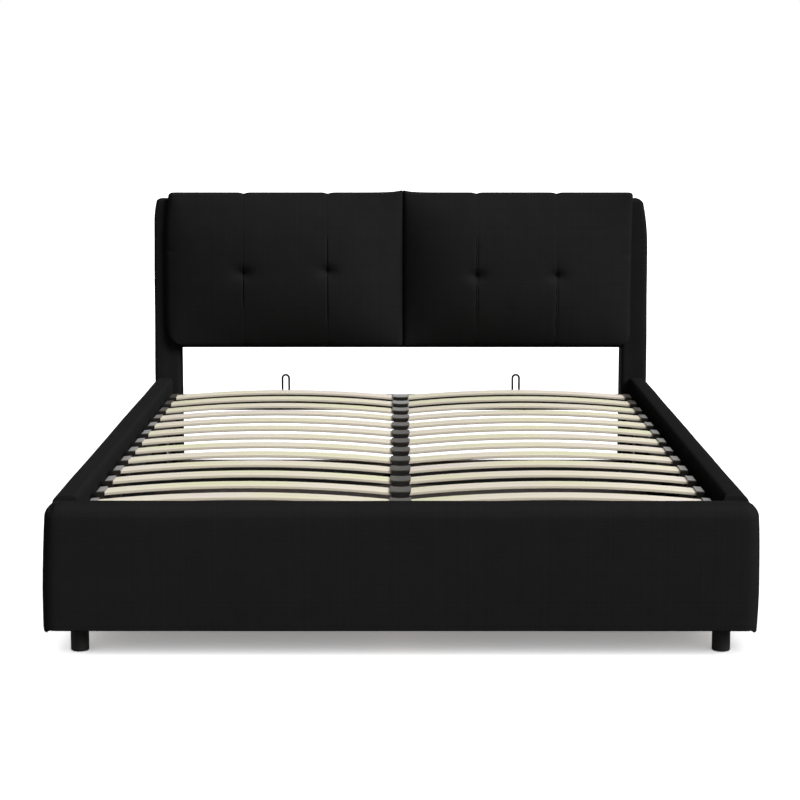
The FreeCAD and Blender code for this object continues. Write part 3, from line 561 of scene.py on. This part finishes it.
# Foot panel: one padded board across the end, its two outer corners and its top rolled over
footShape = {"roll": 0.032, "inner": 0.010, "lower": 0.003, "under": 0.002, "backCorner": 0.003,
             "fold": 0.002, "cell": 0.011, "puff": 0.004, "puffFrom": 0.55, "puffEnds": 10, "wave": 0.0006,
             "waveLength": 0.34, "waveReach": 0.06, "seed": 21, "leanFrom": 0.15, "leanPower": 1.3,
             "swellPower": 3, "endShare": 0.05, "hang": 0.006, "hangReach": 0.012, "hangShare": 0.06,
             "fill": 0.7,
             "left": {"swell": 0.0025, "swellAt": 0.06, "lean": 0.008},
             "right": {"swell": 0.004, "swellAt": 0.48, "lean": 0.003}}


def makeFoot():
    # A block with rolled edges. Its front swells by puff times a dome over its height, level but for its
    # ends. Each end swells at one height, leans in towards the top and hangs a little at its lower corner.
    shape = footShape
    roll, inner, lower = shape["roll"], shape["inner"], shape["lower"]
    low, high = corners("foot_cover")
    low[2] -= shape["fold"]
    points, quads, flats = blockLattice(
        stations(low[0], high[0], shape["cell"], (roll, roll)),
        stations(low[1], high[1], shape["cell"], (roll, inner)),
        stations(low[2], high[2], shape["cell"], (lower, roll)))
    x, y, z = points.T
    across, up = (x - low[0]) / (high[0] - low[0]), (z - low[2]) / (high[2] - low[2])
    onFront = ease((high[1] - y) / (high[1] - low[1]), shape["puffFrom"], 1)
    puff = shape["puff"] * (1 - np.abs(2 * across - 1) ** shape["puffEnds"]) * dome(up) * onFront
    y, z = roundCorners(y, z, low[1:], high[1:], (lower, shape["under"], inner, roll))
    x, z = roundCorners(x, z, low[[0, 2]], high[[0, 2]], (lower, lower, roll, roll))
    x, y = roundCorners(x, y, low[:2], high[:2], (roll, roll, shape["backCorner"], shape["backCorner"]))
    wave = ripple(np.stack([x, y, z], 1), shape["seed"], shape["waveLength"]) * shape["wave"]
    lean = np.clip((z - shape["leanFrom"]) / (high[2] - shape["leanFrom"]), 0, 1) ** shape["leanPower"]
    power = shape["swellPower"]
    leftEnd, rightEnd = (end["swell"] * fullness(up, end["swellAt"], power, power) - lean * end["lean"]
                         for end in (shape["left"], shape["right"]))
    x = x + ease(across, 1 - shape["endShare"], 1) * rightEnd - ease(across, shape["endShare"], 0) * leftEnd
    corner = ease(np.minimum(across, 1 - across) * (high[0] - low[0]), shape["hangReach"], 0)
    z = z - shape["hang"] * corner * ease(up, shape["hangShare"], 0)
    y = y - puff + wave * onFront
    z = z + wave * ease(z, high[2] - shape["waveReach"], high[2])
    dress(clothPiece("foot_padding", 1, x, y, z, quads, flats), shape["fill"], "foot_cover")


makeFoot()

# Headboard posts: square padded uprights whose top outer corner leans in and rolls over
postShape = {"edge": 0.012, "lower": 0.004, "fold": 0.002, "cell": 0.010, "puff": 0.003,
             "puffAcross": (0.35, 0.7), "puffBack": 0.4, "wave": 0.0004, "waveLength": 0.22, "waveFrom": 0.5,
             "taper": 0.005, "taperFrom": 0.40, "leanFrom": 0.2, "fill": 0.7,
             "left": {"sign": -1, "corner": 0.007, "lean": 0.010, "leanHeight": 0.080, "seed": 31},
             "right": {"sign": 1, "corner": 0.016, "lean": 0.017, "leanHeight": 0.150, "seed": 32}}


def makePost(side):
    # A block with rounded edges. Its outer side leans in by the square of the height above where the lean
    # starts and by a straight taper, and its front swells by puff times a dome over its height.
    shape = {**postShape, **postShape[side]}
    edge, lower, corner = shape["edge"], shape["lower"], shape["corner"]
    low, high = corners("right_post_cover")
    low[2] -= shape["fold"]
    points, quads, flats = blockLattice(
        stations(low[0], high[0], shape["cell"], (corner, corner)),
        stations(low[1], high[1], shape["cell"], (edge, edge)),
        stations(low[2], high[2], shape["cell"], (lower, corner)))
    x, y, z = points.T
    across, back = (x - low[0]) / (high[0] - low[0]), (y - low[1]) / (high[1] - low[1])
    up = (z - low[2]) / (high[2] - low[2])
    lean = shape["lean"] * np.clip((z - high[2] + shape["leanHeight"]) / shape["leanHeight"], 0, 1) ** 2
    lean = lean + shape["taper"] * np.clip((z - shape["taperFrom"]) / (high[2] - shape["taperFrom"]), 0, 1)
    forward = shape["puff"] * ease(across, *shape["puffAcross"]) * dome(up) * ease(back, shape["puffBack"], 0)
    x, z = roundCorners(x, z, low[[0, 2]], high[[0, 2]], (0, lower, corner, corner))
    x, y = roundCorners(x, y, low[:2], high[:2], (edge,) * 4)
    y, z = roundCorners(y, z, low[1:], high[1:], (lower, lower, edge, edge))
    wave = ripple(np.stack([x, y, z], 1), shape["seed"], shape["waveLength"]) * shape["wave"]
    x = x - lean * ease(across, shape["leanFrom"], 1) + wave * ease(across, shape["waveFrom"], 1)
    piece = clothPiece(f"{side}_post_padding", shape["sign"], x, y - forward, z, quads, flats)
    dress(piece, shape["fill"], f"{side}_post_cover")


makePost("left")
makePost("right")

# Headboard panel between the posts: a cloth-covered board, its back a little padded, with a sewn border
panelShape = {"edge": 0.005, "cell": 0.012, "puff": 0.005, "puffFrom": 0.6, "wave": 0.0006, "waveLength": 0.2,
              "seed": 41, "border": 0.024, "seamWidth": 0.0022, "seamDepth": 0.0022, "seamCell": 0.0016,
              "fill": 0.8}


def makePanel():
    # A block with rounded edges. Its back swells by puff times a dome over its width and one over its
    # height, and is drawn in by a bell curve along the seam that runs round its border.
    shape = panelShape
    edge, border = shape["edge"], shape["border"]
    low, high = corners("headboard_panel")
    seams = [[(low[axis] + border, shape["seamCell"]), (high[axis] - border, shape["seamCell"])]
             for axis in (0, 2)]
    points, quads, flats = blockLattice(
        stations(low[0], high[0], shape["cell"], (edge, edge), seams[0]),
        stations(low[1], high[1], shape["cell"], (edge, edge)),
        stations(low[2], high[2], shape["cell"], (edge, edge), seams[1]))
    x, y, z = points.T
    across, up = (x - low[0]) / (high[0] - low[0]), (z - low[2]) / (high[2] - low[2])
    onBack = ease((y - low[1]) / (high[1] - low[1]), shape["puffFrom"], 1)
    toEdge = np.minimum.reduce([x - low[0], high[0] - x, z - low[2], high[2] - z])
    seam = shape["seamDepth"] * bell(toEdge - border, shape["seamWidth"])
    puff = (shape["puff"] * dome(across) * dome(up) - seam) * onBack
    y, z = roundCorners(y, z, low[1:], high[1:], (edge,) * 4)
    x, y = roundCorners(x, y, low[:2], high[:2], (0, 0, edge, edge))
    wave = ripple(np.stack([x, y, z], 1), shape["seed"], shape["waveLength"]) * shape["wave"]
    y = y + puff + wave * onBack
    dress(clothPiece("headboard_panel_cover", 1, x, y, z, quads, flats), shape["fill"], "headboard_panel")


makePanel()
print("padded frame made")

# Caps over the bed bolts on the backs of the posts: a button with a flat crown and a rounded rim
capShape = {"radius": 0.013, "rise": 0.0040, "sink": 0.004, "rim": 5, "rings": 10, "sides": 48,
            "boltHead": 0.007}


def makeCap(name, x, y, z):
    # Turned about Y: at a share of the radius it stands proud by rise times one less that share to the power
    # rim, and its wall goes straight down into the cloth
    shape = capShape
    share = np.sin(np.linspace(0, np.pi / 2, shape["rings"]))[1:]
    radii = np.append(share, 1)[:, None] * shape["radius"]
    heights = np.append(shape["rise"] * (1 - share ** shape["rim"]), -shape["sink"])[:, None]
    turn = np.linspace(0, 2 * np.pi, shape["sides"], endpoint=False)
    placed = np.broadcast_arrays(x + radii * np.cos(turn), y + heights, z + radii * np.sin(turn))
    rings = np.stack(placed, -1)
    ids = np.arange(rings[..., 0].size).reshape(rings.shape[:2])
    after = np.roll(ids, -1, axis=1)
    crown, base = np.full_like(turn, ids.size, int), np.full_like(turn, ids.size + 1, int)
    quads = np.stack([ids[:-1], after[:-1], after[1:], ids[1:]], -1).reshape(-1, 4)
    crownFan, baseFan = np.stack([crown, after[0], ids[0]], -1), np.stack([base, ids[-1], after[-1]], -1)
    fans = np.concatenate([crownFan, baseFan])
    middles = [(x, y + shape["rise"], z), (x, y - shape["sink"], z)]
    points = np.concatenate([rings.reshape(-1, 3), middles])
    piece = newPiece(name, points, quads.tolist() + fans.tolist(), finishes["black_plastic"])
    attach(piece, "base")


boltsLow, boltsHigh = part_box("corner_bolts")
capAcross = boltsHigh.x - capShape["boltHead"]
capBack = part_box("right_post_cover")[1].y
capLevels = {"lower": boltsLow.z + capShape["boltHead"], "upper": boltsHigh.z - capShape["boltHead"]}
for capSide, capSign in (("left", -1), ("right", 1)):
    for capLevel, capHeight in capLevels.items():
        makeCap(f"{capSide}_{capLevel}_bolt_cap", capSign * capAcross, capBack, capHeight)
print("bolt caps made")

# Headboard cushions: three sewn panels each, a pinched tuft on each seam, puffed by a cloth simulation. Each
# seam has its place across, its tuft's height, how far its crease runs up and down from the tuft, and its
# folds: how far beside the seam, how deep and how wavy. The cloth settings are Blender's own.
cushionShape = {
    "cell": 0.0070, "edgeThickness": 0.030, "frontRoll": 0.014, "backRoll": 0.006,
    "corners": (0.008, 0.050, 0.012, 0.002), "sideShare": 0.1, "sideFull": (0.40, 6.0, 3.0),
    "crown": 0.072, "crownAcross": (0.37, 2.6, 2.0), "crownUp": (0.45, 2.1, 2.8), "onFront": (0.5, 1),
    "tuftDepth": 0.014, "tuftWidth": 0.028, "tuftHeight": 0.020, "tuftHeld": 0.006,
    "pinchDepth": 0.009, "pinchWidth": 0.008, "pinchHeight": 0.0055,
    "seamDepth": 0.0042, "seamWidth": 0.0019, "seamRest": 0.14, "seamFade": (0.03, 0.02), "seamCell": 0.0016,
    "seamHold": 0.3, "seamHeld": 0.0008, "foldLength": 0.052, "foldPhase": 900,
    "borderHold": 0.85, "borderReach": 0.022, "borderLine": 0.014, "borderDepth": 0.0012,
    "borderWidth": 0.0018, "borderCell": 0.0014, "heldBehind": 0.95,
    "notch": 0.004, "notchWidth": 0.009, "notchShare": 0.05,
    "edgePinchDepth": 0.005, "edgePinchHeight": 0.005, "edgePinchReach": 0.05,
    "earRise": 0.008, "earReach": 0.026, "earShare": 0.1,
    "splitGap": 0.0004, "splitBend": 0.003, "splitDepth": 0.060, "splitReach": 0.08,
    "frames": 20, "cap": 0.022, "fill": 0.75,
    "cloth": {"use_pressure": True, "uniform_pressure_force": 3.0, "quality": 6, "mass": 0.3,
              "tension_stiffness": 18, "compression_stiffness": 18, "shear_stiffness": 6,
              "bending_stiffness": 0.8},
    "left": {
        "sign": -1, "outerRoll": 0.024, "drawIn": -0.016, "edgePinch": 0.812, "splitShift": 0.0056,
        "seams": (
            {"at": 0.243, "tuft": 0.749, "up": 0.110, "down": 0.165, "folds": ((0.0, 1.0, 0.0),)},
            {"at": 0.522, "tuft": 0.741, "up": 0.025, "down": 0.105, "folds": ((0.0, 1.1, 0.0),)})},
    "right": {
        "sign": 1, "outerRoll": 0.014, "drawIn": 0.004, "edgePinch": 0.800, "splitShift": 0.0049,
        "seams": (
            {"at": 0.251, "tuft": 0.733, "up": 0.125, "down": 0.150,
             "folds": ((-0.0028, 0.8, 0.0012), (0.0034, 0.6, 0.0016))},
            {"at": 0.517, "tuft": 0.731, "up": 0.060, "down": 0.195,
             "folds": ((-0.0024, 0.7, 0.0016), (0.0036, 0.5, 0.0012))})},
}


def puffUp(piece, held, shape):
    # Blender's cloth with inner pressure, pinned where the cushion is held. No point moves past the cap.
    rest = np.empty(len(piece.data.vertices) * 3, np.float32)
    piece.data.vertices.foreach_get("co", rest)
    pins = piece.vertex_groups.new(name="held")
    for weight in np.unique(held[held > 0]):
        pins.add(np.flatnonzero(held == weight).tolist(), float(weight), "REPLACE")
    modifier = piece.modifiers.new("puff", "CLOTH")
    for key, value in shape["cloth"].items():
        setattr(modifier.settings, key, value)
    modifier.settings.vertex_group_mass = "held"
    modifier.settings.effector_weights.gravity = 0
    modifier.collision_settings.use_collision = False
    modifier.point_cache.frame_start = 1
    modifier.point_cache.frame_end = shape["frames"]
    for step in range(1, shape["frames"] + 1):
        scene.frame_set(step)
    moved = np.empty_like(rest)
    puffed = piece.evaluated_get(bpy.context.evaluated_depsgraph_get()).data
    puffed.vertices.foreach_get("co", moved)
    piece.modifiers.remove(modifier)
    piece.vertex_groups.clear()
    scene.frame_set(1)
    rest, moved = rest.reshape(-1, 3), moved.reshape(-1, 3)
    step = moved - rest
    length = np.linalg.norm(step, axis=1, keepdims=True)
    print(piece.name, "puffed by up to", round(float(length.max()) * 1000, 1), "mm")
    return rest + step * np.minimum(1, shape["cap"] / np.maximum(length, 1e-9))


def makeCushion(side):
    # A block, rounded, crowned and puffed, and then sewn; each stage gives its own formula
    shape = {**cushionShape, **cushionShape[side]}
    sign, seams = shape["sign"], shape["seams"]
    roll, backRoll = shape["frontRoll"], shape["backRoll"]
    low, high = corners("right_cushion")
    back, wide, tall = high[1], high[0] - low[0], high[2] - low[2]
    low[1] = back - shape["edgeThickness"]
    borderHeight = high[2] - shape["borderLine"]
    points, quads, flats = blockLattice(
        stations(low[0], high[0], shape["cell"], marks=[(seam["at"], shape["seamCell"]) for seam in seams]),
        stations(low[1], high[1], shape["cell"]),
        stations(low[2], high[2], shape["cell"], marks=[(borderHeight, shape["borderCell"])]))
    x, y, z = points.T
    flatX, flatZ = x, z
    across, up = (x - low[0]) / wide, (z - low[2]) / tall
    front = (back - y) / shape["edgeThickness"]             # 0 on the back, 1 on the front
    frontShare = ease(front, *shape["onFront"])
    toEdge = np.minimum.reduce([x - low[0], high[0] - x, z - low[2], high[2] - z])
    # outline: rounded corners and edges, the outer side drawn in, or full where drawIn is below 0
    x, z = roundCorners(x, z, low[[0, 2]], high[[0, 2]], shape["corners"])
    x, y = roundCorners(x, y, low[:2], high[:2], (roll, shape["outerRoll"], backRoll, backRoll))
    y, z = roundCorners(y, z, low[1:], high[1:], (roll, backRoll, backRoll, roll))
    x = x - shape["drawIn"] * fullness(up, *shape["sideFull"]) * ease(across, 1 - shape["sideShare"], 1)
    # crown: a rounded pillow over the whole face, fullest towards the split and below its middle, with a
    # broad bell-shaped dimple round each tuft
    crown = shape["crown"] * fullness(across, *shape["crownAcross"]) * fullness(up, *shape["crownUp"])
    dimple = sum(
        bell(flatX - seam["at"], shape["tuftWidth"]) * bell(flatZ - seam["tuft"], shape["tuftHeight"])
        for seam in seams) * shape["tuftDepth"]
    y = y - front * crown + frontShare * dimple
    piece = clothPiece(f"{side}_headboard_cushion", sign, x, y, z, quads, flats)
    # held: the back, the border and the sides, loosely the seams, firmly the tufts
    onFace = front > shape["heldBehind"]
    border = shape["borderHold"] * (1 - ease(toEdge, 0, shape["borderReach"]))
    held = np.where(front < shape["heldBehind"], 1.0, border)
    for seam in seams:
        fromSeam, fromTuft = np.abs(flatX - seam["at"]), np.abs(flatZ - seam["tuft"])
        onSeam = onFace & (fromSeam < shape["seamHeld"])
        held = np.where(onSeam, np.maximum(held, shape["seamHold"]), held)
        held = np.where(onFace & (fromSeam < shape["tuftHeld"]) & (fromTuft < shape["tuftHeld"]), 1.0, held)
    puffed = puffUp(piece, np.round(held, 1), shape)
    x, y, z = puffed[:, 0] * sign, puffed[:, 1], puffed[:, 2]
    # sewing: creases that fade out along each seam, a pinch at each tuft, nicks where a seam meets the edges
    before, past = shape["seamFade"]
    atEnds = ease(up, 1 - shape["notchShare"], 1) - ease(up, shape["notchShare"], 0)
    for seam in seams:
        rise = flatZ - seam["tuft"]
        below = ease(rise, -seam["down"] - before, -seam["down"] + past)
        above = ease(rise, seam["up"] - before, seam["up"] + past)
        strength = shape["seamRest"] + (1 - shape["seamRest"]) * below * (1 - above)
        for offset, share, wave in seam["folds"]:
            bends = np.sin(rise * 2 * np.pi / shape["foldLength"] + offset * shape["foldPhase"])
            crease = bell(flatX - seam["at"] - offset - wave * bends, shape["seamWidth"]) * shape["seamDepth"]
            y = y + frontShare * crease * share * strength
        pinch = bell(flatX - seam["at"], shape["pinchWidth"]) * bell(rise, shape["pinchHeight"])
        y = y + frontShare * shape["pinchDepth"] * pinch
        z = z - bell(flatX - seam["at"], shape["notchWidth"]) * shape["notch"] * atEnds
    # border seam under the top edge, a crease at the outer edge, ears and a common line at the split
    y = y + frontShare * bell(flatZ - borderHeight, shape["borderWidth"]) * shape["borderDepth"]
    edgePinch = bell(flatZ - shape["edgePinch"], shape["edgePinchHeight"]) * shape["edgePinchDepth"]
    y = y + frontShare * ease(high[0] - flatX, shape["edgePinchReach"], 0) * edgePinch
    fromSplit = flatX - low[0]
    z = z + np.exp(-fromSplit / shape["earReach"]) * ease(up, 1 - shape["earShare"], 1) * shape["earRise"]
    x = np.maximum(x, shape["splitGap"])
    y = np.minimum(y, back)
    bend = shape["splitBend"] * np.sin(np.pi * np.clip((back - y) / shape["splitDepth"], 0, 1))
    shift = (shape["splitShift"] + bend) * np.exp(-fromSplit / shape["splitReach"])
    placed = np.stack([x * sign + shift, y, z], 1)
    piece.data.vertices.foreach_set("co", placed.astype(np.float32).ravel())
    piece.data.update()
    finer = piece.modifiers.new("finer", "SUBSURF")
    finer.levels = finer.render_levels = 1
    dress(piece, shape["fill"], f"{side}_cushion")


makeCushion("left")
makeCushion("right")
print("cushions made")

# Stage: pale floor that keeps the shadow, white surroundings, a soft key light from the front right and a
# fill light for the black cloth from the back left. The floor takes its shadow from the surroundings alone,
# so that it stays close under the bed.
stageSet = {"floorHalf": 60.0, "floorSeen": 7.6, "floorBounce": 0.45, "floorGlow": 0.21, "surround": 0.20,
            "fromFront": 0.8, "key": {"strength": 4.1, "angle": 40.0, "turn": 56.0, "height": 36.0},
            "fill": {"strength": 4.4, "angle": 10.0, "turn": 220.0, "height": 3.0}}


def seenShare(tree):
    # 1 for rays from the camera and for mirrored or refracted ones, 0 for light
    path = node(tree, "LightPath").outputs
    mirrored = calc(tree, "ADD", path["Is Glossy Ray"], path["Is Transmission Ray"])
    return calc(tree, "MINIMUM", 1, calc(tree, "ADD", path["Is Camera Ray"], mirrored))


def makeLamp(name, lamp, pieces, linkState):
    # A broad sun that lights the given pieces alone, or everything but them
    data = bpy.data.lights.new(name, "SUN")
    data.energy = lamp["strength"]
    data.angle = math.radians(lamp["angle"])
    light = bpy.data.objects.new(name, data)
    light.rotation_euler = (math.radians(90 - lamp["height"]), 0, math.radians(lamp["turn"]))
    scene.collection.objects.link(light)
    linked = bpy.data.collections.new(name + "Pieces")
    for piece in pieces:
        linked.objects.link(piece)
    for entry in linked.collection_objects:
        entry.light_linking.link_state = linkState
    light.light_linking.receiver_collection = linked


def makeFloor():
    # A wide square: the camera sees it paler than the light it throws back, and it glows a little
    half = stageSet["floorHalf"]
    mesh = bpy.data.meshes.new("studio_floor")
    rim = [(-half, -half, 0), (half, -half, 0), (half, half, 0), (-half, half, 0)]
    mesh.from_pydata(rim, [], [(0, 1, 2, 3)])
    floor = bpy.data.objects.new("studio_floor", mesh)
    scene.collection.objects.link(floor)
    material = bpy.data.materials.new("studioFloor")
    material.use_nodes = True
    tree = material.node_tree
    tree.nodes.remove(tree.nodes["Principled BSDF"])
    byCamera = node(tree, "LightPath").outputs["Is Camera Ray"]
    tone = spread(tree, byCamera, 0, 1, stageSet["floorBounce"], stageSet["floorSeen"])
    matt = node(tree, "BsdfDiffuse", {"Color": tone}).outputs[0]
    shine = calc(tree, "MULTIPLY", seenShare(tree), stageSet["floorGlow"])
    glow = node(tree, "Emission", {"Strength": shine}).outputs[0]
    both = node(tree, "AddShader", {0: matt, 1: glow}).outputs[0]
    tree.links.new(both, tree.nodes["Material Output"].inputs["Surface"])
    mesh.materials.append(material)
    return floor


def makeSurroundings():
    # White to the camera; as light, brighter from the front than from the back
    world = bpy.data.worlds.new("studioWhite")
    scene.world = world
    world.use_nodes = True
    tree = world.node_tree
    towardsBack = node(tree, "SeparateXYZ", {0: node(tree, "TexCoord").outputs["Generated"]}).outputs["Y"]
    light = spread(tree, towardsBack, -1, 1, stageSet["surround"] * (1 + stageSet["fromFront"]),
                   stageSet["surround"] * (1 - stageSet["fromFront"]))
    strength = spread(tree, seenShare(tree), 0, 1, light, 1.0)
    tree.links.new(strength, tree.nodes["Background"].inputs["Strength"])
    tree.nodes["Background"].inputs["Color"].default_value = (1, 1, 1, 1)


def makeStage():
    floor = makeFloor()
    makeSurroundings()
    makeLamp("keyLight", stageSet["key"], [floor], "EXCLUDE")
    cloth = ["headboard_panel_cover", "left_rail_padding", "left_headboard_cushion",
             "right_headboard_cushion", "left_post_padding", "right_post_padding", "foot_padding"]
    makeLamp("fillLight", stageSet["fill"], [bpy.data.objects[name] for name in cloth], "INCLUDE")


makeStage()

print("scene finished")
